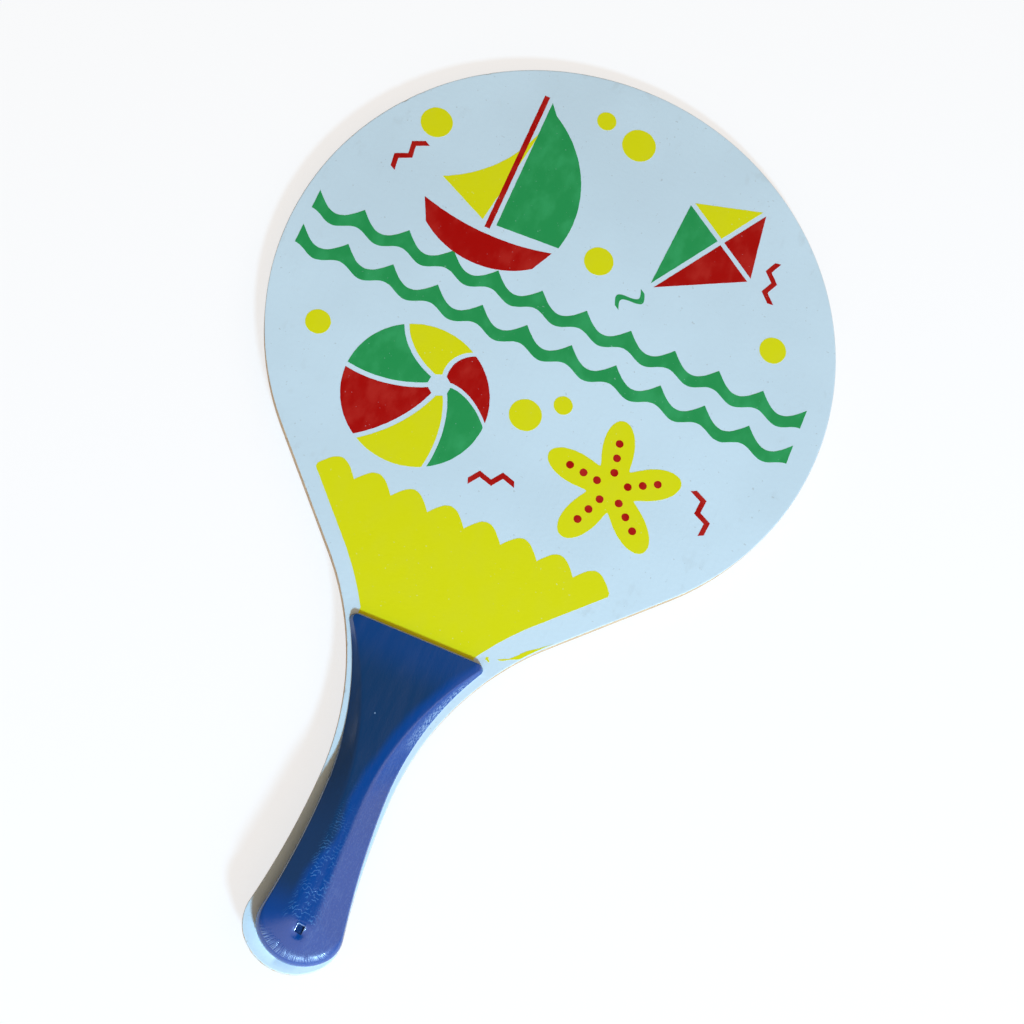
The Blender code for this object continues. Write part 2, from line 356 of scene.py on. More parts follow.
def brad_places(brad_shift):
    """The places of a scale's lower and upper brads."""
    places = (LOWER_BRAD_FROM_BUTT + brad_shift, UPPER_BRAD_FROM_BUTT - brad_shift)
    return [Vector((0, from_butt)) for from_butt in places]


def cut_shank(face, place, matrix):
    """The hole of a brad's shank through a face veneer."""
    rings = [oblong(*SHANK_HOLE, height, place) for height in (-BLADE_THICKNESS, CUT_OVERSHOOT)]
    carve(face, add_loft("shank", rings, matrix))


# Grip scales

UNEVENNESS = 0.10
UNEVEN_TURNS = (0.09, 0.05)
WRINKLE_HEIGHT = 0.02
WRINKLE_TURNS = (0.8, 0.35)
WRINKLE_SEED = 5
WRINKLE_SPREAD = 5
WRINKLES_TOP = (70, 110)
RELIEF_ABOVE_WALL = 1
LIP_HEIGHT = 0.14
LIP_FROM_PIT = 0.3
LIP_WIDTH = 0.3
LIP_START = (-1.5, 1.0)
FINE_REACH = 4.5
FINE_CUTS = 3
RUN_DEPTH = 0.8
RUN_WIDTH = 2.2
RUN_LENGTH = 2.0
RUN_BELOW_PIT = 1.2
DIMPLE_DEPTH = 0.07
DIMPLE_WIDTH = 1.6
NOTCH_FROM_BUTT = 71.0
NOTCH_DEPTH = 0.55
NOTCH_WIDTH = 0.7
NOTCH_HEIGHT = 1.2


def grip_half():
    waist = Vector((WAIST_HALF_WIDTH - GRIP_SIDE_MARGIN, WAIST_FROM_BUTT))
    neck_radius = NECK_RADIUS + GRIP_SIDE_MARGIN
    top = top_run(waist, neck_radius, GRIP_TOP_FROM_BUTT, GRIP_TOP_CORNER_RADIUS)
    butt = butt_run(GRIP_SIDE_MARGIN, GRIP_BUTT_MARGIN, GRIP_BUTT_CORNER_RADIUS, GRIP_BUTT_BULGE)
    return joined(top, butt)


def land_half():
    """The land of the crown, with one point for each point of the grip's outline."""
    waist = Vector((LAND_HALF_WIDTH, LAND_WAIST_FROM_BUTT))
    land_top = GRIP_TOP_FROM_BUTT - LAND_TO_GRIP_TOP
    top = top_run(waist, LAND_NECK_RADIUS, land_top, LAND_TOP_CORNER_RADIUS)
    end = Vector((0, GRIP_BUTT_MARGIN + LAND_TO_GRIP_BUTT + LAND_HALF_WIDTH))
    strip = line(top[-1], Vector((LAND_HALF_WIDTH, end.y)), FLARE_STEPS)
    tip = arc(end, LAND_HALF_WIDTH, 0, -math.pi / 2, CORNER_STEPS + END_STEPS)
    return joined(top, strip, tip)


def levelled(inset):
    """A straight slope from 0 to 1 whose last stretch bends over to level."""
    steepness = 1 / (1 - RIDGE_ROUNDING / 2)
    if inset < 1 - RIDGE_ROUNDING:
        return steepness * inset
    return 1 - steepness * (1 - inset) ** 2 / (2 * RIDGE_ROUNDING)


def rounded(inset, reach):
    """A quarter of an ellipse from 0 to 1 as far as the reach, and level after it."""
    left = max(1 - inset / reach, 0)
    return math.sqrt(1 - left**2)


def shoulder_point(edge, land, turn):
    """A point of the shoulder, which rounds off from the edge into a slope up to the land."""
    inset = 1 - math.cos(turn)
    place = edge.lerp(land, inset)
    wall = smooth(place.y, *WALL_HEIGHT)
    crown = smooth(place.y, *CROWN_HEIGHT)
    slope = smooth(place.y, *SLOPE_SHARE)
    edge_rise = rounded(inset, smooth(edge.y, *EDGE_ROUNDING))
    rise = slope * levelled(inset) + (1 - slope) * edge_rise
    return Vector((place.x, place.y, wall + (crown - wall) * rise))


def outside_pit(point, place):
    """How far a point lies outside the sides of a brad's pit."""
    across = max(abs(point.x - place.x) - BRAD_HEAD[0] / 2, 0)
    along = max(abs(point.y - place.y) - BRAD_HEAD[1] / 2, 0)
    return math.hypot(across, along)


def relief(point, lower, upper, seed):
    """How much the enamelled surface stands up or sinks at a point of the ideal scale."""
    away = outside_pit(point, lower)
    lip = LIP_HEIGHT * bell(away, LIP_FROM_PIT, LIP_WIDTH) * smooth(point.y - lower.y, *LIP_START)
    run = RUN_DEPTH * bell(point.y, lower.y - RUN_BELOW_PIT, RUN_LENGTH)
    run *= bell(point.x, lower.x, RUN_WIDTH)
    dimple = DIMPLE_DEPTH * bell((point.xy - upper).length, 0, DIMPLE_WIDTH)
    uneven = UNEVENNESS * noise_at(point, UNEVEN_TURNS, seed)
    wrinkle = WRINKLE_HEIGHT * noise_at(point, WRINKLE_TURNS, seed + WRINKLE_SEED)
    ridge = bell(point.x, 0, WRINKLE_SPREAD) * (1 - smooth(point.y, *WRINKLES_TOP))
    return lip - run - dimple + uneven + wrinkle * ridge


def weather(point, lower, upper, seed):
    """Moves a point of the ideal scale to its uneven surface, and into the notch in its left edge."""
    wall = smooth(point.y, *WALL_HEIGHT)
    point.z += relief(point, lower, upper, seed) * smooth(point.z, wall / 2, wall + RELIEF_ABOVE_WALL)
    if point.x < 0:
        notch = NOTCH_DEPTH * bell(point.y, NOTCH_FROM_BUTT, NOTCH_WIDTH)
        point.x += notch * bell(point.z, wall, NOTCH_HEIGHT)


def add_scale(name, matrix, brad_shift, seed):
    """A grip scale with the small unevenness of sanded and enamelled wood."""
    lower, upper = brad_places(brad_shift)
    edge = grip_half()
    land = land_half()
    shape = bmesh.new()
    rings = [ring(both_sides(edge), 0)]
    for step in range(SHOULDER_STEPS + 1):
        turn = math.pi / 2 * step / SHOULDER_STEPS
        pairs = zip(both_sides(edge), both_sides(land))
        rings.append([shoulder_point(e, f, turn) for e, f in pairs])
    rows = add_rows(shape, rings)
    shape.faces.new(rows[0])
    cap_land(shape, rows[-1])
    refine_about(shape, lower)
    for vertex in shape.verts:
        if vertex.co.z > 0:
            weather(vertex.co, lower, upper, seed)
    scale = add_object(name, shape, matrix)
    for place, sink, open_pit in ((lower, LOWER_BRAD_SINK, True), (upper, UPPER_BRAD_SINK, False)):
        carve(scale, add_loft("pit", pit_rings(place, sink, open_pit), matrix))
    return scale


def refine_about(shape, place):
    """Divides the upper faces round a brad's pit more finely."""
    near = {v for v in shape.verts if v.co.z > 0 and (v.co.xy - place).length < FINE_REACH}
    edges = [e for e in shape.edges if near.issuperset(e.verts)]
    bmesh.ops.subdivide_edges(shape, edges=edges, cuts=FINE_CUTS, use_grid_fill=True)


def cap_land(shape, row):
    """Closes the land with strips from side to side, each divided as the straight top edge is."""
    half = len(row) // 2
    columns = 2 * TOP_STEPS
    above = row[TOP_STEPS:0:-1] + [row[0]] + row[:-TOP_STEPS - 1:-1]
    for i in range(TOP_STEPS + 1, half):
        right, left = row[i], row[-i]
        between = [shape.verts.new(right.co.lerp(left.co, k / columns)) for k in range(1, columns)]
        below = [right, *between, left]
        for k in range(columns):
            shape.faces.new((above[k], above[k + 1], below[k + 1], below[k]))
        above = below
    for k in range(columns):
        shape.faces.new((above[k], above[k + 1], row[half]))


def pit_rings(place, sink, open_pit):
    """A brad's hole through a scale, with its pit open to the crown or closed over by the enamel."""
    head_top = smooth(place.y, *CROWN_HEIGHT) - sink
    seat = head_top - BRAD_HEAD[2]
    rings = [oblong(*SHANK_HOLE, height, place) for height in (-CUT_OVERSHOOT, seat)]
    rings += [oblong(*HEAD_HOLE, height, place) for height in (seat, head_top + SKIN_OVER_BRAD)]
    if open_pit:
        rise = sink + CUT_OVERSHOOT
        width = HEAD_HOLE[0] + 2 * PIT_SIDE_FLARE * rise
        depth = HEAD_HOLE[1] + PIT_TOP_FLARE * rise
        middle = place + Matrix.Rotation(BRAD_TURN, 2) @ Vector((0, PIT_TOP_FLARE * rise / 2))
        rings.append(oblong(width, depth, head_top + rise, middle))
    return rings


# Beach print. Its places are measured from the centre of the head.

BORDER = 8.0
PRINT_SHIFT = Vector((-2.2, 0))
INK_HEIGHTS = {"yellow": 0.05, "green": 0.06, "red": 0.07}
INK_EDGE_STEP = 1.2
INK_EDGE_WAVER = 0.09
INK_EDGE_TURNS = 0.5
DRIFT_APART = Vector((0, 0, 40))
FIELD_TOP = -88.0
FIELD_GAP = 0.5
FIELD_START = 1.0
SCALLOP_WIDTH = 15.0
SCALLOP_HEIGHT = 6.0
WAVE_LEVELS = (8.0, -8.0)
WAVE_LENGTH = 19.0
WAVE_CREST = 6.5
WAVE_BODY = 5.0
BALL_CENTER = Vector((-38, -47))
BALL_RADIUS = 29.0
BALL_POLE = Vector((8, 9))
BALL_CAP = 4.5
BALL_SEAM = 2.0
BALL_SWIRL = 0.5
BALL_COLOURS = ("red", "yellow", "green") * 2
KITE_CENTER = Vector((48, 66))
KITE_TURN = math.radians(-32)
KITE_HALF_WIDTH = 21.0
KITE_NOSE = 25.0
KITE_TAIL = 38.0
KITE_HALF_SEAM = 1.0
KITE_PANELS = (
    ("red", 1, KITE_NOSE),
    ("yellow", -1, KITE_NOSE),
    ("green", -1, -KITE_TAIL),
    ("red", 1, -KITE_TAIL),
)
RIBBON_SWAY = 3.0
RIBBON_GAP = 2.0
RIBBON_LENGTH = 13.0
STAR_CENTER = Vector((46, -49))
STAR_ARMS = 5
STAR_RADIUS = 28.0
STAR_WAIST = 10.0
STAR_SLIMNESS = 1.7
STAR_TILT = math.radians(12)
STAR_SPOT = 1.6
STAR_SPOTS = (6.5, 12.5, 18.5)
DOT_STEPS = 36
SPOT_STEPS = 14
# Dots: x, y and radius
DOTS = (
    (2, 90, 7.0),
    (-14, 94, 4.0),
    (-76, 62, 6.5),
    (84, 32, 5.5),
    (6, 36, 6.0),
    (4, -36, 6.5),
    (16, -26, 3.8),
    (-84, -36, 5.0),
)
STRAY_CENTER = (28.0, -130.8)
STRAY_SIZE = 0.75
STRAY_TURNS = 0.8
SMEAR_FROM_BUTT = (133.2, 151.0)
SMEAR_REACH = (0.55, 4.6)
SMEAR_BEND = 3.5
SMEAR_WIDTH = 0.34
SMEAR_PINCH = 0.25
SMEAR_BLOBS = 1.5
# Zigzags: x, y and turn in degrees
ZIGZAGS = (
    (-84, 36, 62),
    (76, 50, 100),
    (76, -36, -60),
    (-6, -70, 20),
)
ZIGZAG_STEP = 4.5
ZIGZAG_RISE = 3.2
ZIGZAG_HALF_WIDTH = 1.25
ZIGZAG_COUNT = 4
BOAT_CENTER = Vector((-40, 25))
BOAT_SCALE = 0.85
# Boat before it is scaled: corners, and arcs by their centre, radius, start and end in degrees
BOAT_DECK = ((0, 120), 118, -106, -74)
BOAT_KEEL = ((0, 30), 44, -52, -128)
BOAT_MAST = ((-1.3, 5), (1.3, 5), (1.3, 80), (-1.3, 80))
MAINSAIL_LUFF = ((3.5, 8), (3.5, 78))
MAINSAIL_LEECH = ((-20, 24), 56, 75, -14)
LEECH_START = 5
JIB_TACK = (-3.5, 8)
JIB_LUFF = ((-60, 78), 66, -62, -8)


def circle(center, radius, steps=DOT_STEPS):
    return arc(Vector(center), radius, 0, math.tau * (steps - 1) / steps, steps - 1)


def drift(point, per_mm):
    """A smooth shift of up to about 1 either way, with this many turns to a millimetre."""
    place = per_mm * point.to_3d()
    return Vector((noise.noise(place), noise.noise(place + DRIFT_APART)))


def stray_spot():
    """A small ragged spot of stray ink beside the grip."""
    spot = circle(STRAY_CENTER, STRAY_SIZE)
    return [p + STRAY_SIZE * drift(p, STRAY_TURNS / STRAY_SIZE) for p in spot]


def stray_smear():
    """A ragged smear of stray ink, which runs from beside the grip out to the edge of the blade."""
    low, high = SMEAR_FROM_BUTT
    pairs = [pair for pair in zip(*map(head_run, SMEAR_REACH)) if low < pair[0].y < high]
    upper = []
    lower = []
    for share, (outer, inner) in zip(shares(len(pairs) - 1), pairs):
        blob = abs(math.sin(math.pi * SMEAR_BLOBS * share**2))
        half_width = SMEAR_WIDTH * (SMEAR_PINCH + blob) * math.sqrt(share * (1 - share))
        middle = max(share**SMEAR_BEND, half_width)
        upper.append(outer.lerp(inner, middle + half_width))
        lower.append(outer.lerp(inner, middle - half_width))
    return [p - HEAD_CENTER - PRINT_SHIFT for p in upper + lower[-2:0:-1]]


def field_outline():
    """The yellow field between the border, the grip and a row of scallops."""
    low = GRIP_TOP_FROM_BUTT - HEAD_Y + FIELD_GAP
    side = [p - HEAD_CENTER for p in head_run(BORDER)]
    side = [p for p in side if low + FIELD_START < p.y < FIELD_TOP]
    reach = side[0].x
    count = 2 * round(reach / SCALLOP_WIDTH)
    top = []
    for share in shares(count * END_STEPS):
        rise = SCALLOP_HEIGHT * abs(math.sin(math.pi * count * share))
        top.append(Vector((reach * (2 * share - 1), FIELD_TOP + rise)))
    lean = math.tan(FRONT_GRIP_SKEW)
    bottom = [Vector((x, low + lean * x)) for x in (side[-1].x, -side[-1].x)]
    return mirrored(side) + top + side + bottom


def wave_outline(level):
    """A band of even waves with pointed crests, as wide as the border lets it be."""
    reach = math.sqrt((HEAD_RADIUS - BORDER) ** 2 - level**2)
    count = round(2 * reach / WAVE_LENGTH)
    crest = []
    trough = []
    for share in shares(count * END_STEPS):
        x = reach * (2 * share - 1)
        swing = math.pi * count * share
        crest.append(Vector((x, level + WAVE_CREST * (1 - abs(math.sin(swing))))))
        trough.append(Vector((x, level - WAVE_BODY + WAVE_CREST / 2 * math.cos(swing) ** 2)))
    return crest + trough[::-1]


def ball_point(share, angle):
    """A point of the ball on the seam that starts at its pole and ends at this angle of its edge."""
    edge = BALL_RADIUS * toward(angle + BALL_SWIRL * (1 - share))
    return BALL_CENTER + BALL_POLE.lerp(edge, share)


def ball_panels():
    """The panels of a beach ball with bare seams between them: (colour, outline)."""
    panels = []
    width = math.tau / len(BALL_COLOURS)
    start = BALL_CAP / BALL_RADIUS
    shares = [start + (1 - start) * i / END_STEPS for i in range(END_STEPS + 1)]
    for i, colour in enumerate(BALL_COLOURS):
        seams = [BALL_SEAM / (2 * BALL_RADIUS * share) for share in shares]
        first = [ball_point(s, i * width + g) for s, g in zip(shares, seams)]
        second = [ball_point(s, (i + 1) * width - g) for s, g in zip(shares, seams)]
        start_angle = i * width + seams[-1]
        sweep = width - 2 * seams[-1]
        rim = [ball_point(1, start_angle + sweep * k / END_STEPS) for k in range(1, END_STEPS)]
        panels.append((colour, first + rim + second[::-1]))
    return panels


def boat_arc(center, radius, start, end):
    return arc(Vector(center), radius, math.radians(start), math.radians(end), END_STEPS)


def boat_outlines():
    """A small sailing boat: (colour, outline) of its hull, mast and two sails."""
    hull = boat_arc(*BOAT_DECK) + boat_arc(*BOAT_KEEL)
    mast = [Vector(corner) for corner in BOAT_MAST]
    main = [Vector(corner) for corner in MAINSAIL_LUFF]
    main += [p for p in boat_arc(*MAINSAIL_LEECH) if p.x > LEECH_START]
    jib = [Vector(JIB_TACK)] + boat_arc(*JIB_LUFF)
    shapes = (("red", hull), ("red", mast), ("green", main), ("yellow", jib))
    return [(colour, [BOAT_CENTER + BOAT_SCALE * p for p in outline]) for colour, outline in shapes]


def kite_outlines():
    """A kite in four panels with a wavy tail: (colour, outline)."""
    seam = KITE_HALF_SEAM
    shapes = []
    for colour, hand, end in KITE_PANELS:
        up = math.copysign(seam, end)
        reach = KITE_HALF_WIDTH - seam * (KITE_HALF_WIDTH / abs(end) + 1)
        tip = end - up * (abs(end) / KITE_HALF_WIDTH + 1)
        points = ((hand * seam, up), (hand * reach, up), (hand * seam, tip))
        shapes.append((colour, [Vector(point) for point in points]))
    ribbon = []
    for share in shares(END_STEPS):
        sway = RIBBON_SWAY * math.sin(math.tau * share)
        ribbon.append(Vector((sway, -KITE_TAIL - RIBBON_GAP - RIBBON_LENGTH * share)))
    shapes.append(("green", thickened(ribbon, Vector((ZIGZAG_HALF_WIDTH, 0)))))
    turn = Matrix.Rotation(KITE_TURN, 2)
    return [(colour, [KITE_CENTER + turn @ p for p in outline]) for colour, outline in shapes]


def star_point(radius, angle):
    return STAR_CENTER + radius * toward(angle + STAR_TILT + math.pi / 2)


def star_outline():
    """A starfish with rounded arms."""
    points = []
    steps = STAR_ARMS * END_STEPS
    for i in range(steps):
        angle = math.tau * i / steps
        lobe = abs(math.cos(STAR_ARMS / 2 * angle)) ** STAR_SLIMNESS
        points.append(star_point(STAR_WAIST + (STAR_RADIUS - STAR_WAIST) * lobe, angle))
    return points


def star_spots():
    angles = [math.tau * arm / STAR_ARMS for arm in range(STAR_ARMS)]
    places = [star_point(radius, angle) for angle in angles for radius in STAR_SPOTS]
    return [circle(place, STAR_SPOT, SPOT_STEPS) for place in places]


def thickened(points, offset):
    """The outline of a stroke, this far to either side of its middle."""
    return [p + offset for p in points] + [p - offset for p in reversed(points)]


def zigzag_outline(x, y, turn):
    steps = range(ZIGZAG_COUNT + 1)
    middle = [Vector((ZIGZAG_STEP * i, ZIGZAG_RISE * (i % 2))) for i in steps]
    rotation = Matrix.Rotation(math.radians(turn), 2)
    outline = thickened(middle, Vector((0, ZIGZAG_HALF_WIDTH)))
    return [Vector((x, y)) + rotation @ p for p in outline]


def inked_edge(outline):
    """The outline in short steps that waver a little, as a screen print's edge does."""
    points = []
    for start, end in zip(outline, outline[1:] + outline[:1]):
        steps = max(1, round((end - start).length / INK_EDGE_STEP))
        points += line(start, end, steps)[:-1]
    return [p + INK_EDGE_WAVER * drift(p, INK_EDGE_TURNS) for p in points]


def print_outlines():
    """Every patch of ink of the print, by colour."""
    inks = {colour: [] for colour in INK_HEIGHTS}
    inks["yellow"].append(field_outline())
    inks["yellow"].append(star_outline())
    inks["yellow"] += [circle((x, y), radius) for x, y, radius in DOTS]
    inks["yellow"] += [stray_spot(), stray_smear()]
    inks["green"] += [wave_outline(level) for level in WAVE_LEVELS]
    inks["red"] += star_spots()
    inks["red"] += [zigzag_outline(*place) for place in ZIGZAGS]
    for colour, outline in ball_panels() + boat_outlines() + kite_outlines():
        inks[colour].append(outline)
    return inks


def add_ink(colour, outlines):
    """The patches of one ink, as thin layers on the front face."""
    shape = bmesh.new()
    for outline in outlines:
        points = [p + HEAD_CENTER + PRINT_SHIFT for p in inked_edge(outline)]
        add_closed(shape, [ring(points, 0), ring(points, INK_HEIGHTS[colour])])
    return add_object(f"print_{colour}", shape, FRONT)


# Materials

# Axes that the fibres of a sheet run along
ACROSS, ALONG = 0, 1
# Colour sockets of a mix node
MIX_FIRST, MIX_SECOND, MIX_RESULT = 6, 7, 2


class Pattern(NamedTuple):
    """Noise with about this many features to a millimetre, drawn out along the grain."""

    scale: float
    along: float = 1.0
    detail: float = 2.0
    shift: float = 0.0
    fade: tuple = ()
    distortion: float = 0.0


class Nodes:
    """Adds nodes to a tree. Inputs are values or the sockets of other nodes."""

    def __init__(self, tree):
        self.tree = tree

    def put(self, socket, value):
        if isinstance(value, bpy.types.NodeSocket):
            self.tree.links.new(value, socket)
        else:
            socket.default_value = value

    def add(self, kind, inputs=None, **settings):
        node = self.tree.nodes.new(kind)
        for name, value in settings.items():
            setattr(node, name, value)
        for name, value in (inputs or {}).items():
            self.put(node.inputs[name], value)
        return node

    def vector(self, operation, inputs, output="Vector"):
        return self.add("ShaderNodeVectorMath", inputs, operation=operation).outputs[output]

    def split(self, vector):
        return self.add("ShaderNodeSeparateXYZ", {0: vector}).outputs

    def math(self, operation, first, *others):
        """One operation on its values, from left to right."""
        for other in others or (0.0,):
            first = self.add("ShaderNodeMath", {0: first, 1: other}, operation=operation).outputs[0]
        return first

    def total(self, *values):
        return self.math("ADD", *values)

    def less(self, first, second):
        return self.math("SUBTRACT", first, second)

    def product(self, *values):
        return self.math("MULTIPLY", *values)

    def strongest(self, *values):
        return self.math("MAXIMUM", *values)

    def square(self, value):
        return self.math("POWER", value, 2.0)

    def fade(self, value, low, high, to_low=0.0, to_high=1.0):
        """A smooth step from one level, at low, to another, at high."""
        inputs = dict(enumerate((value, low, high, to_low, to_high)))
        return self.add("ShaderNodeMapRange", inputs, interpolation_type="SMOOTHSTEP").outputs[0]

    def fall(self, value, low, high):
        """1 below a soft limit and 0 above it."""
        return self.fade(value, low, high, 1.0, 0.0)

    def within(self, value, low, high):
        """1 between two soft limits."""
        return self.product(self.fade(value, *low), self.fall(value, *high))

    def mix(self, factor, first, second):
        inputs = {"Factor": factor, MIX_FIRST: self.colour(first), MIX_SECOND: self.colour(second)}
        return self.add("ShaderNodeMix", inputs, data_type="RGBA").outputs[MIX_RESULT]

    def colour(self, value):
        return (*value, 1) if isinstance(value, tuple) else value

    def seen_by(self, *rays):
        """1 for rays of these kinds and 0 for all others."""
        path = self.add("ShaderNodeLightPath")
        return self.strongest(*[path.outputs[f"Is {ray} Ray"] for ray in rays])


class Look(Nodes):
    """A node material. Lengths are millimetres, and its shift sets its patterns apart from others."""

    def __init__(self, name, shift=0.0, fibres=ALONG):
        self.material = bpy.data.materials.new(name)
        self.material.use_nodes = True
        super().__init__(self.material.node_tree)
        self.shader = self.tree.nodes["Principled BSDF"]
        self.shift = shift
        self.fibres = fibres
        place = self.add("ShaderNodeTexCoord")
        self.normal = place.outputs["Normal"]
        self.mm = self.vector("SCALE", {0: place.outputs["Object"], "Scale": 1 / METRES_PER_MM})
        self.x, self.y, self.z = self.split(self.mm)

    def pattern(self, kind):
        """The noise of a pattern, faded between its limits if it has any."""
        stretch = [1.0, 1.0, 1.0]
        stretch[self.fibres] = kind.along
        place = self.vector("MULTIPLY", {0: self.mm, 1: stretch})
        place = self.vector("ADD", {0: place, 1: [self.shift + kind.shift] * 3})
        inputs = {"Vector": place, "Scale": kind.scale, "Detail": kind.detail}
        level = self.add("ShaderNodeTexNoise", {**inputs, "Distortion": kind.distortion}).outputs[0]
        return self.fade(level, *kind.fade) if kind.fade else level

    def bump(self, height, depth):
        inputs = {"Height": height, "Distance": depth * METRES_PER_MM}
        return self.add("ShaderNodeBump", inputs).outputs["Normal"]

    def finish(self, inputs):
        for name, value in inputs.items():
            self.put(self.shader.inputs[name], self.colour(value))
        return self.material


# Bare wood
LIGHT_WOOD = (0.66, 0.47, 0.27)
DARK_WOOD = (0.36, 0.22, 0.11)
PALE_WOOD = (0.72, 0.55, 0.35)
WOOD_STREAKS = Pattern(1.4, along=0.03, detail=4, distortion=0.4)
WOOD_BANDS = Pattern(0.18, along=0.03, shift=30, fade=(0.3, 0.75, 0.0, 0.6))
WOOD_PORES = Pattern(3.0, along=0.03, detail=1, shift=60, fade=(0.62, 0.75, 0.0, 0.5))
STREAK_TONES = (0.3, 0.7)
STREAK_ROUGHNESS = (0.2, 0.8, 0.62, 0.85)
STREAK_RELIEF = 0.12

# White paint
WHITE_PAINT = (0.605, 0.75, 0.815)
PAINT_SHADE = (0.57, 0.705, 0.765)
PAINT_DIRT = (0.36, 0.39, 0.38)
PAINT_SHADES = Pattern(0.014, detail=3, fade=(0.35, 0.65))
PAINT_GRAIN = Pattern(0.7, along=0.05, detail=3)
PAINT_GRAIN_TONES = (0.55, 0.8, 0.0, 0.25)
PAINT_GRAIN_RELIEF = 0.6
PAINT_SCUFFS = Pattern(0.22, along=0.6, detail=5, shift=8, fade=(0.58, 0.74))
PAINT_SPECKS = Pattern(0.75, detail=1, shift=17, fade=(0.74, 0.79, 0.0, 0.4))
PAINT_PEEL = Pattern(0.55, shift=3)
PAINT_ROUGHNESS = (0.3, 1.3, 0.36, 0.75)
PAINT_RELIEF = 0.05
RIM_WEAR = Pattern(0.9, detail=3)
RIM_WEAR_SHARE = 0.5
RIM_WEAR_LIMITS = (0.72, 1.02)
RIM_DIRT_WIDTH = 22.0
RIM_DIRT_TONES = (0.02, 0.14)

# Inks: full and thin
INKS = {
    "yellow": ((0.70, 0.685, 0.006), (0.69, 0.675, 0.007)),
    "green": ((0.020, 0.285, 0.076), (0.030, 0.335, 0.102)),
    "red": ((0.395, 0.003, 0.002), (0.45, 0.014, 0.009)),
}
INK_SHINE = 0.2
INK_PATCHES = Pattern(0.16, along=0.6, detail=5)
INK_TONES = (0.42, 0.72)
INK_ROUGHNESS = (0.3, 0.7, 0.32, 0.5)
INK_PINHOLES = Pattern(1.1, detail=1, shift=11, fade=(0.76, 0.80, 0.0, 0.25))
INK_RELIEF = 0.03

# Brads
BRAD_ENAMEL = (0.002, 0.028, 0.120)
STEEL = (0.40, 0.41, 0.43)
BRAD_SHINE = 0.15
BRAD_WEAR = Pattern(1.5, detail=3, fade=(0.68, 0.74))
BRAD_ROUGHNESS = Pattern(2.0, shift=4, fade=(0.3, 0.7, 0.3, 0.5))
BRAD_RELIEF = -0.03


def wood_colour(look):
    """Bare wood with darker pores and broad bands, and the streaks of its fibres."""
    streaks = look.pattern(WOOD_STREAKS)
    tone = look.mix(look.fade(streaks, *STREAK_TONES), DARK_WOOD, LIGHT_WOOD)
    tone = look.mix(look.pattern(WOOD_BANDS), tone, PALE_WOOD)
    return look.mix(look.pattern(WOOD_PORES), tone, DARK_WOOD), streaks


def ply(name, shift, fibres):
    """A bare inner sheet, seen at the blade's edge."""
    look = Look(name, shift, fibres)
    tone, streaks = wood_colour(look)
    return look.finish({
        "Base Color": tone,
        "Roughness": look.fade(streaks, *STREAK_ROUGHNESS),
        "Normal": look.bump(streaks, STREAK_RELIEF),
    })


def painted_veneer(name, shift):
    """Satin white paint on the face, worn through to bare wood round the rim."""
    look = Look(name, shift)
    upright = look.math("ABSOLUTE", look.split(look.normal)[2])
    ragged = look.product(look.pattern(RIM_WEAR), RIM_WEAR_SHARE)
    bare = look.fall(look.total(upright, ragged), *RIM_WEAR_LIMITS)
    grain = look.pattern(PAINT_GRAIN)
    paint = look.mix(look.pattern(PAINT_SHADES), PAINT_SHADE, WHITE_PAINT)
    paint = look.mix(look.fade(grain, *PAINT_GRAIN_TONES), paint, PAINT_SHADE)
    from_head = look.vector("SUBTRACT", {0: look.mm, 1: (0, BUTT_Y + HEAD_Y, 0)})
    far = look.vector("LENGTH", {0: from_head}, "Value")
    near_rim = look.fade(far, HEAD_RADIUS - RIM_DIRT_WIDTH, HEAD_RADIUS, *RIM_DIRT_TONES)
    dirt = look.product(look.pattern(PAINT_SCUFFS), near_rim)
    paint = look.mix(look.strongest(dirt, look.pattern(PAINT_SPECKS)), paint, PAINT_DIRT)
    peel = look.pattern(PAINT_PEEL)
    raised = look.total(look.product(grain, PAINT_GRAIN_RELIEF), peel)
    return look.finish({
        "Base Color": look.mix(bare, paint, wood_colour(look)[0]),
        "Roughness": look.fade(look.total(peel, bare), *PAINT_ROUGHNESS),
        "Normal": look.bump(raised, PAINT_RELIEF),
    })


def ink(name, shift, full, thin):
    """Screen-print ink with thin patches and pinholes that let the paint show."""
    look = Look(name, shift)
    patches = look.pattern(INK_PATCHES)
    tone = look.mix(look.fade(patches, *INK_TONES), full, thin)
    return look.finish({
        "Base Color": look.mix(look.pattern(INK_PINHOLES), tone, WHITE_PAINT),
        "Roughness": look.fade(patches, *INK_ROUGHNESS),
        "Normal": look.bump(look.pattern(PAINT_PEEL), INK_RELIEF),
        "Specular IOR Level": INK_SHINE,
    })


def enamelled_steel(name, shift):
    """A brad's head, enamelled over, with steel at its scratches."""
    look = Look(name, shift)
    worn = look.pattern(BRAD_WEAR)
    return look.finish({
        "Base Color": look.mix(worn, BRAD_ENAMEL, STEEL),
        "Metallic": worn,
        "Roughness": look.pattern(BRAD_ROUGHNESS),
        "Normal": look.bump(worn, BRAD_RELIEF),
        "Specular IOR Level": BRAD_SHINE,
    })


# Enamel of the grips

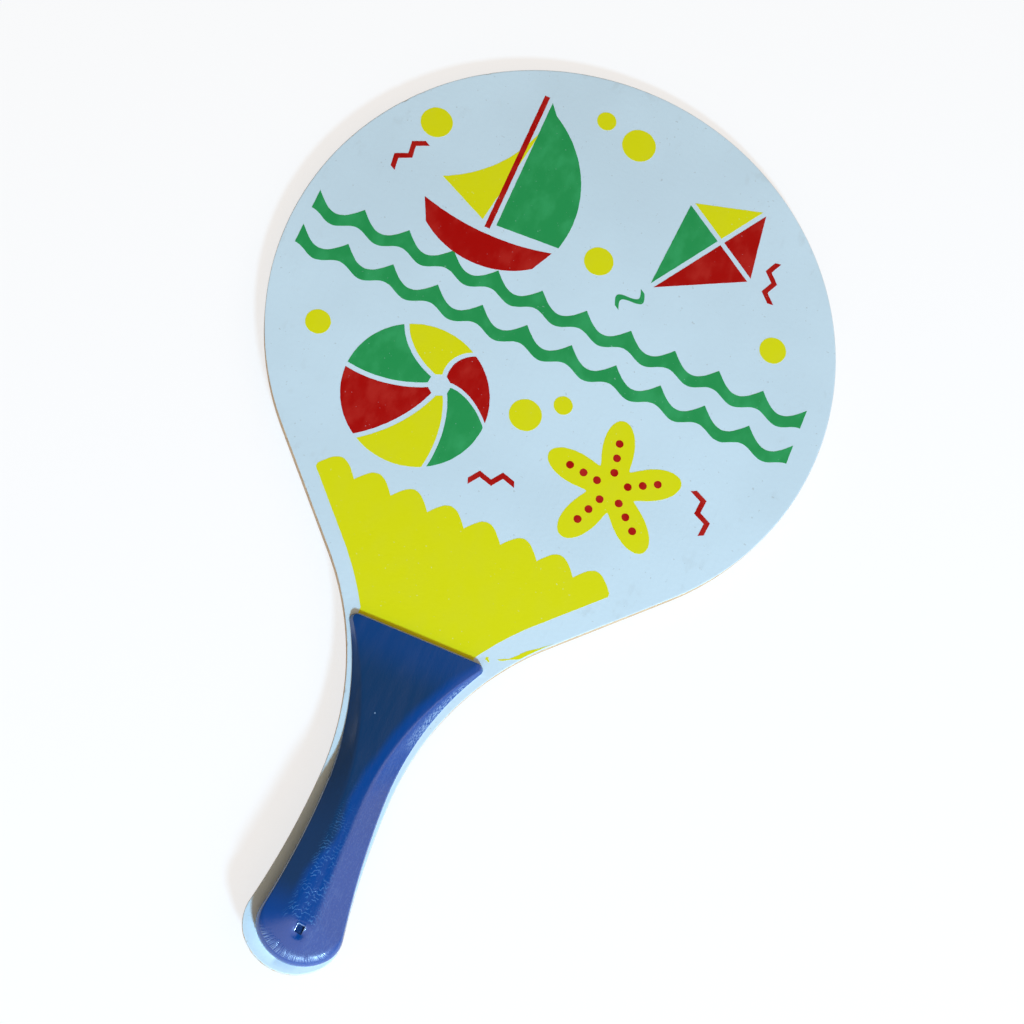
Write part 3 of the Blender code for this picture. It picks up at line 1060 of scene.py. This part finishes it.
BLUE_ENAMEL = (0.002, 0.060, 0.275)
# Darker enamel, painted as shade on the left slope and the ramp to the top
PAINTED_SHADE_ENAMEL = (0.008, 0.044, 0.128)
# Pale strokes: partly worn crests of the grain, partly painted sheen on them
STROKE_WEAR_AND_SHEEN_ENAMEL = (0.05, 0.25, 0.58)
# Pale tone for grain and the paint drop, also used for painted highlights and painted bounce light
PALE_ENAMEL = (0.30, 0.45, 0.66)
ENAMEL_SHINE = 1.0
ENAMEL_RELIEF = 0.045
ENAMEL_ROUGHNESS = Pattern(0.4, along=0.1, detail=3, shift=5, fade=(0.3, 0.7, 0.15, 0.24))
FIBRES = Pattern(1.2, along=0.06, detail=3)
FIBRE_RELIEF = 0.3
ENAMEL_PEEL = Pattern(1.8, along=0.5, detail=4, shift=40)
PEEL_RELIEF = 0.9
GROWTH_LEAN = math.radians(11)
GROWTH_STEP = 0.32
GROWTH_NOISE = Pattern(0.9, along=0.45)
GROWTH_WAVER = 15.0
STROKE_EDGE = (0.55, 1.0)
STROKE_BREAKS = Pattern(0.4, along=0.6, detail=4, shift=21, fade=(0.42, 0.56))
STROKES_LEFT = (-10.5, -7.5)
STROKES_RIGHT = (4.0, 10.0)
STROKES_NARROWING = 0.09
STROKES_FOOT = (16.5, 19.0)
STROKES_TOP = (36.0, 84.0)
STROKE_WEAR_AND_SHEEN_TONE = 0.5
STROKE_RELIEF = 0.5
GRAIN_LINES = Pattern(1.7, along=0.12, detail=4, shift=64, fade=(0.5, 0.72))
GRAIN_SPECKS = Pattern(2.6, along=0.5, shift=71, fade=(0.5, 0.7))
GRAIN_PAST_LAND = (-1.0, 1.0)
GRAIN_TONE = 0.08
# Where the painted shade lies: left of the land and on the ramp to the top, in blotches
PAINTED_SHADE_RIGHT = (-5.6, -2.2)
PAINTED_SHADE_STEP = (34.0, 52.0)
PAINTED_SHADE_STEP_WIDTH = 5.0
PAINTED_SHADE_FOOT = (18.0, 32.0)
PAINTED_SHADE_TOP = (110.0, 126.0)
PAINTED_SHADE_AT_TOP = 0.6
PAINTED_SHADE_NOISE = Pattern(0.08, along=0.5, detail=3)
PAINTED_SHADE_BLOTCH = 5.0
NOISE_MIDDLE = 0.5
COMB_TEETH = 22.0
COMB_EDGE = (0.49, 0.56)
COMB_LOW = (0.40, 0.47)
COMB_HIGH = (0.66, 0.80)
COMB_RAGGED = 0.2
COMB_TOP = (9.0, 13.0)
# Pale streaks at the butt rim: partly end-grain scuffs, partly painted highlight
COMB_SCUFF_AND_HIGHLIGHT_TONE = 0.45
COMB_RELIEF = 5.0
COMB_ROUGHNESS = 0.2
# Painted highlight on the lip of the lower brad's pit
LIP_NEAR = (-0.15, 0.0)
LIP_FAR = (0.12, 0.38)
LIP_OPEN = (-0.9, 0.6)
LIP_HIGHLIGHT_TONE = 0.8
# Pale spots on the right edge's rounding: partly rubbed spots, partly painted highlight
SCUFF_AND_SHEEN_NOISE = Pattern(2.8, along=0.35, detail=5, shift=33, fade=(0.42, 0.64))
SCUFF_AND_SHEEN_FOOT = (88.0, 97.0)
SCUFF_AND_SHEEN_TOP = (119.0, 127.0)
SCUFF_AND_SHEEN_LEFT = (2.0, 8.0)
SCUFF_AND_SHEEN_INSET = (0.3, 0.9)
SCUFF_AND_SHEEN_TONE = 0.7
# Painted bounce light: a pale line along the foot of the scale
FOOT_BOUNCE_LIGHT_HEIGHT = (0.15, 0.5)
FOOT_BOUNCE_LIGHT_TONE = 0.6
DROP_PLACE = (-4.6, 98.0)
DROP_RADIUS = (0.2, 0.4)
DROP_TONE = 0.7


class GripLook(Look):
    """A look whose points also know their places on a grip scale."""

    def __init__(self, name, shift, hand, skew, brad_shift):
        super().__init__(name, shift)
        self.height = self.math("ABSOLUTE", self.less(self.z, BLADE_MIDDLE))
        self.above_face = self.less(self.height, BLADE_THICKNESS / 2)
        self.from_butt = self.less(self.y, BUTT_Y)
        lean = self.product(self.less(self.from_butt, SKEW_PIVOT_FROM_BUTT), math.tan(skew))
        self.across = self.total(self.product(self.x, hand), lean)
        self.past_land = self.less(self.across, self.land_half_width())
        self.from_brad = self.less(self.from_butt, LOWER_BRAD_FROM_BUTT + brad_shift)
        self.risen = self.share_of_rise()

    def land_half_width(self):
        past_waist = self.strongest(self.less(self.from_butt, LAND_WAIST_FROM_BUTT), 0.0)
        squares = self.less(LAND_NECK_RADIUS**2, self.square(past_waist))
        return self.less(LAND_HALF_WIDTH + LAND_NECK_RADIUS, self.math("SQRT", squares))

    def share_of_rise(self):
        """0 at the top of the wall and 1 on the land."""
        wall = self.fade(self.from_butt, *WALL_HEIGHT)
        crown = self.fade(self.from_butt, *CROWN_HEIGHT)
        return self.math("DIVIDE", self.less(self.above_face, wall), self.less(crown, wall))

    def strokes(self):
        """Broken arches on the ridge, where the growth rings of the wood come to its surface."""
        tilted = self.product(self.y, math.sin(GROWTH_LEAN))
        layers = self.less(self.product(self.height, math.cos(GROWTH_LEAN)), tilted)
        waver = self.product(self.pattern(GROWTH_NOISE), GROWTH_WAVER)
        phase = self.total(self.product(layers, math.tau / GROWTH_STEP), waver)
        lost = self.product(self.from_butt, STROKES_NARROWING)
        return self.product(
            self.fade(self.math("SINE", phase), *STROKE_EDGE),
            self.pattern(STROKE_BREAKS),
            self.fade(self.less(self.across, lost), *STROKES_LEFT),
            self.fall(self.total(self.across, lost), *STROKES_RIGHT),
            self.within(self.from_butt, STROKES_FOOT, STROKES_TOP),
        )

    def grain(self):
        """Fine lines along the wood, on the slope right of the land."""
        marks = self.strongest(self.pattern(GRAIN_LINES), self.pattern(GRAIN_SPECKS))
        return self.product(marks, self.fade(self.past_land, *GRAIN_PAST_LAND))

    def painted_shade(self):
        """Painted shade: darker enamel down the left and on the ramp to the top, broken up by noise."""
        blotch = self.product(self.less(self.pattern(PAINTED_SHADE_NOISE), NOISE_MIDDLE), PAINTED_SHADE_BLOTCH)
        nearer = self.fade(self.from_butt, *PAINTED_SHADE_STEP, PAINTED_SHADE_STEP_WIDTH, 0.0)
        return self.product(
            self.fall(self.total(self.past_land, nearer, blotch), *PAINTED_SHADE_RIGHT),
            self.fade(self.from_butt, *PAINTED_SHADE_FOOT),
            self.fade(self.from_butt, *PAINTED_SHADE_TOP, 1.0, PAINTED_SHADE_AT_TOP),
        )

    def comb(self):
        """Radial streaks of end grain, and the band near the butt's edge where their pale tone is partly
        scuffs and partly a painted highlight.
        """
        angle = self.math("ARCTAN2", self.across, self.product(self.from_brad, -1.0))
        inputs = {"W": angle, "Scale": COMB_TEETH, "Detail": 0.0}
        teeth = self.add("ShaderNodeTexNoise", inputs, noise_dimensions="1D").outputs[0]
        ragged = self.total(self.risen, self.product(teeth, COMB_RAGGED))
        band = self.product(
            self.fade(self.risen, *COMB_LOW),
            self.fall(ragged, *COMB_HIGH),
            self.fall(self.from_butt, *COMB_TOP),
        )
        return teeth, band

    def lip(self):
        """A painted highlight on the lip of the lower brad's pit, which is open towards the butt."""
        cosine, sine = math.cos(BRAD_TURN), math.sin(BRAD_TURN)
        right = self.total(self.product(self.across, cosine), self.product(self.from_brad, sine))
        up = self.less(self.product(self.from_brad, cosine), self.product(self.across, sine))
        beside = self.less(self.math("ABSOLUTE", right), BRAD_HEAD[0] / 2)
        beyond = self.less(self.math("ABSOLUTE", up), BRAD_HEAD[1] / 2)
        round_pit = self.within(self.strongest(beside, beyond), LIP_NEAR, LIP_FAR)
        return self.product(round_pit, self.fade(up, *LIP_OPEN))

    def scuffs_and_sheen(self):
        """Pale spots along the right edge near the top: partly rubbed spots, partly a painted highlight
        on the edge's rounding.
        """
        return self.product(
            self.pattern(SCUFF_AND_SHEEN_NOISE),
            self.within(self.from_butt, SCUFF_AND_SHEEN_FOOT, SCUFF_AND_SHEEN_TOP),
            self.fall(self.risen, *SCUFF_AND_SHEEN_INSET),
            self.fade(self.across, *SCUFF_AND_SHEEN_LEFT),
        )

    def drop(self):
        """A drop of pale paint on the ramp."""
        x, y = DROP_PLACE
        beside = self.square(self.less(self.across, x))
        beyond = self.square(self.less(self.from_butt, y))
        return self.fall(self.math("SQRT", self.total(beside, beyond)), *DROP_RADIUS)


def enamel(name, *place):
    """Gloss blue enamel over wood whose growth rings, fibres and end grain show through it, with painted
    shade and painted highlights.
    """
    look = GripLook(name, *place)
    strokes = look.strokes()
    teeth, band = look.comb()
    pale_marks_and_painted_light = look.strongest(
        look.product(look.grain(), GRAIN_TONE),
        # Butt rim streaks: partly scuffs, partly painted highlight
        look.product(band, look.fade(teeth, *COMB_EDGE), COMB_SCUFF_AND_HIGHLIGHT_TONE),
        # Painted highlight on the pit's lip
        look.product(look.lip(), LIP_HIGHLIGHT_TONE),
        # Right edge: partly rubbed spots, partly painted highlight
        look.product(look.scuffs_and_sheen(), SCUFF_AND_SHEEN_TONE),
        look.product(look.drop(), DROP_TONE),
        # Painted bounce light along the foot of the scale
        look.fade(look.above_face, *FOOT_BOUNCE_LIGHT_HEIGHT, FOOT_BOUNCE_LIGHT_TONE, 0.0),
    )
    # Painted shade: darker enamel on the left slope and the ramp
    tone = look.mix(look.painted_shade(), BLUE_ENAMEL, PAINTED_SHADE_ENAMEL)
    # Growth-ring strokes: partly worn crests, partly painted sheen
    tone = look.mix(look.product(strokes, STROKE_WEAR_AND_SHEEN_TONE), tone, STROKE_WEAR_AND_SHEEN_ENAMEL)
    raised = look.total(
        look.product(look.pattern(FIBRES), FIBRE_RELIEF),
        look.product(look.pattern(ENAMEL_PEEL), PEEL_RELIEF),
        look.product(strokes, STROKE_RELIEF),
        look.product(band, teeth, COMB_RELIEF),
    )
    return look.finish({
        "Base Color": look.mix(pale_marks_and_painted_light, tone, PALE_ENAMEL),
        "Roughness": look.total(look.pattern(ENAMEL_ROUGHNESS), look.product(band, COMB_ROUGHNESS)),
        "Normal": look.bump(raised, ENAMEL_RELIEF),
        "Specular IOR Level": ENAMEL_SHINE,
    })


# Stage

FLOOR_COLOUR = (0.93, 0.93, 0.93)
FLOOR_ROUGHNESS = 0.9
FLOOR_GLOW = 0.75
FLOOR_HALF_SIZE = 3.0
CAMERA_PLACE = Vector((-13.966, -222.209, 731.724 + FRONT_FACE)) * METRES_PER_MM
CAMERA_TILT = (math.radians(17.004), math.radians(-1.954), math.radians(24.216))
CAMERA_LENS = 70.3125
CAMERA_SENSOR = 36.0
LAMP_AZIMUTH = math.radians(-54)
LAMP_ELEVATION = math.radians(38)
LAMP_DISTANCE = 1.7
LAMP_SIZE = 0.2
LAMP_LEVEL = 0.55
LAMP_TINT = (0.63, 1.05, 1.45)
ROOM_COLOUR = (0.25, 0.14, 0.06)
CEILING_COLOUR = (0.01, 0.015, 0.02)
CORNER_COLOUR = (0.085, 0.08, 0.085)
WALL_COLOUR = (0.9, 0.66, 0.44)
WINDOW_COLOUR = (0.98, 0.75, 0.54)
SILL_COLOUR = (0.49, 0.40, 0.32)
BACKDROP_COLOUR = (0.88, 0.88, 0.88)
# Parts of the room: colour, direction, and the cosines to it between which they fade in
ROOM_PARTS = (
    (CEILING_COLOUR, (0.0, 0.25, 0.97), (0.78, 0.93)),
    (CORNER_COLOUR, (-1.0, 0.0, 0.25), (0.55, 0.8)),
    (WALL_COLOUR, (0.0, -1.0, 0.1), (0.35, 0.65)),
    (WINDOW_COLOUR, (0.85, 0.1, 0.5), (0.55, 0.80)),
    (SILL_COLOUR, (1.0, 0.0, 0.1), (0.85, 0.97)),
    (WINDOW_COLOUR, (0.0, -0.55, 0.835), (0.82, 0.911)),
)


def floor_paint():
    """Nearly white floor that keeps a soft shadow."""
    look = Look("floor")
    look.finish({"Base Color": FLOOR_COLOUR, "Roughness": FLOOR_ROUGHNESS})
    glow = look.add("ShaderNodeEmission", {"Color": (1, 1, 1, 1), "Strength": 1.0})
    share = look.product(look.seen_by("Camera", "Glossy", "Transmission"), FLOOR_GLOW)
    surfaces = {0: share, 1: look.shader.outputs[0], 2: glow.outputs[0]}
    blend = look.add("ShaderNodeMixShader", surfaces)
    look.put(look.tree.nodes["Material Output"].inputs["Surface"], blend.outputs[0])
    return look.material


def add_floor(back_scale):
    """The floor under the paddle, which rests on the crown of its back scale and the tip of its head."""
    low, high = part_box("back_face_veneer")
    slope = max((low.z - v.co.z) / (high.y - v.co.y) for v in back_scale.data.vertices)
    shape = bmesh.new()
    points = [(x * FLOOR_HALF_SIZE, y * FLOOR_HALF_SIZE) for x, y in CORNERS]
    shape.faces.new([shape.verts.new((x, y, low.z + slope * (y - high.y))) for x, y in points])
    floor = add_object("floor", shape, Matrix())
    floor.data.materials.append(floor_paint())


def add_camera():
    camera = bpy.data.objects.new("camera", bpy.data.cameras.new("camera"))
    camera.data.lens = CAMERA_LENS
    camera.data.sensor_width = CAMERA_SENSOR
    tilt = Euler(CAMERA_TILT, "ZYX").to_matrix().to_4x4()
    camera.matrix_world = Matrix.Translation(CAMERA_PLACE) @ tilt
    bpy.context.scene.collection.objects.link(camera)
    bpy.context.scene.camera = camera


def add_lamp():
    """A small cool lamp, right of the butt, that lights the front face to its level of white."""
    reach, rise = math.cos(LAMP_ELEVATION), math.sin(LAMP_ELEVATION)
    aim = Vector((*(reach * toward(LAMP_AZIMUTH)), rise))
    lamp = bpy.data.lights.new("key", "AREA")
    lamp.size = LAMP_SIZE
    lamp.color = LAMP_TINT
    lamp.energy = LAMP_LEVEL * math.pi**2 * LAMP_DISTANCE**2 / rise
    body = bpy.data.objects.new("key", lamp)
    turn = aim.to_track_quat("Z", "Y").to_matrix().to_4x4()
    body.matrix_world = Matrix.Translation(LAMP_DISTANCE * aim) @ turn
    bpy.context.scene.collection.objects.link(body)


def light_world():
    """A dim warm room with a dark ceiling, a lit wall and two windows, before a pale backdrop."""
    world = bpy.data.worlds.new("world")
    bpy.context.scene.world = world
    world.use_nodes = True
    room = Nodes(world.node_tree)
    view = room.add("ShaderNodeTexCoord").outputs["Generated"]
    tone = ROOM_COLOUR
    for colour, direction, edge in ROOM_PARTS:
        nearness = room.vector("DOT_PRODUCT", {0: view, 1: Vector(direction).normalized()}, "Value")
        tone = room.mix(room.fade(nearness, *edge), tone, colour)
    tone = room.mix(room.seen_by("Camera", "Transmission"), tone, BACKDROP_COLOUR)
    room.put(room.tree.nodes["Background"].inputs["Color"], tone)


# Assembly

FRONT_SEED = 1.0
BACK_SEED = 50.0
CROSSBAND_SHIFT = 70.0
CORE_SHIFT = 140.0
MERGE_DISTANCE = METRES_PER_MM / 1000


def smooth_shading():
    """Nodes that shade a mesh smoothly, apart from its sharp edges."""
    tree = bpy.data.node_groups.new("smooth_shading", "GeometryNodeTree")
    for end in ("INPUT", "OUTPUT"):
        tree.interface.new_socket("Geometry", in_out=end, socket_type="NodeSocketGeometry")
    nodes = Nodes(tree)
    enter = nodes.add("NodeGroupInput")
    bare = nodes.add("GeometryNodeRemoveAttribute", {0: enter.outputs[0], "Name": "custom_normal"})
    merged = nodes.add("GeometryNodeMergeByDistance", {0: bare.outputs[0], "Distance": MERGE_DISTANCE})
    soft = nodes.add("GeometryNodeSetShadeSmooth", {0: merged.outputs[0]})
    angle = nodes.add("GeometryNodeInputMeshEdgeAngle").outputs["Unsigned Angle"]
    sharp = nodes.add("FunctionNodeCompare", {0: angle, 1: SHARP_ANGLE}).outputs[0]
    edges = {0: soft.outputs[0], "Selection": sharp, "Shade Smooth": False}
    hard = nodes.add("GeometryNodeSetShadeSmooth", edges, domain="EDGE")
    nodes.add("NodeGroupOutput", {0: hard.outputs[0]})
    return tree


def coat(piece, material):
    piece.data.materials.clear()
    piece.data.materials.append(material)


def dress(piece, material, node=None):
    """Gives a piece its material, and puts it in the place of a CAD node."""
    coat(piece, material)
    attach(piece, BODY)
    if node:
        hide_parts(node)


def dress_node(name, material):
    """Gives a CAD node its material, and shades it smoothly without changing its mesh."""
    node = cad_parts[name]
    coat(node, material)
    tree = bpy.data.node_groups.get("smooth_shading") or smooth_shading()
    node.modifiers.new("smooth_shading", "NODES").node_group = tree


def add_side(side, seed, to_face, hand, skew, brad_shift):
    """One side of the paddle: its painted face, its grip scale, and the looks of its inner pieces."""
    to_grip = to_face @ turned_about(Matrix.Rotation(skew, 4, "Z"), SKEW_PIVOT)
    face = add_face(f"{side}_painted_face", to_face, seed)
    for place in brad_places(brad_shift):
        cut_shank(face, place, to_grip)
    dress(face, painted_veneer(f"{side}_white_paint", seed), f"{side}_face_veneer")
    scale = add_scale(f"{side}_enamelled_grip", to_grip, brad_shift, seed)
    dress(scale, enamel(f"{side}_blue_enamel", seed, hand, skew, brad_shift), f"{side}_grip_scale")
    dress_node(f"{side}_crossband", ply(f"{side}_crossband_wood", seed + CROSSBAND_SHIFT, ACROSS))
    for level in ("lower", "upper"):
        dress_node(f"{side}_{level}_brad", enamelled_steel(f"{side}_{level}_brad_enamel", seed))
    return scale


def main():
    bpy.context.scene.view_settings.view_transform = "Standard"
    add_side("front", FRONT_SEED, FRONT, 1, FRONT_GRIP_SKEW, 0)
    back_scale = add_side("back", BACK_SEED, BACK, -1, 0, BACK_BRAD_SHIFT)
    dress_node("core_veneer", ply("core_wood", CORE_SHIFT, ALONG))
    for colour, outlines in print_outlines().items():
        patch = add_ink(colour, outlines)
        dress(patch, ink(f"{colour}_ink", len(outlines), *INKS[colour]))
    add_floor(back_scale)
    add_camera()
    add_lamp()
    light_world()


main()
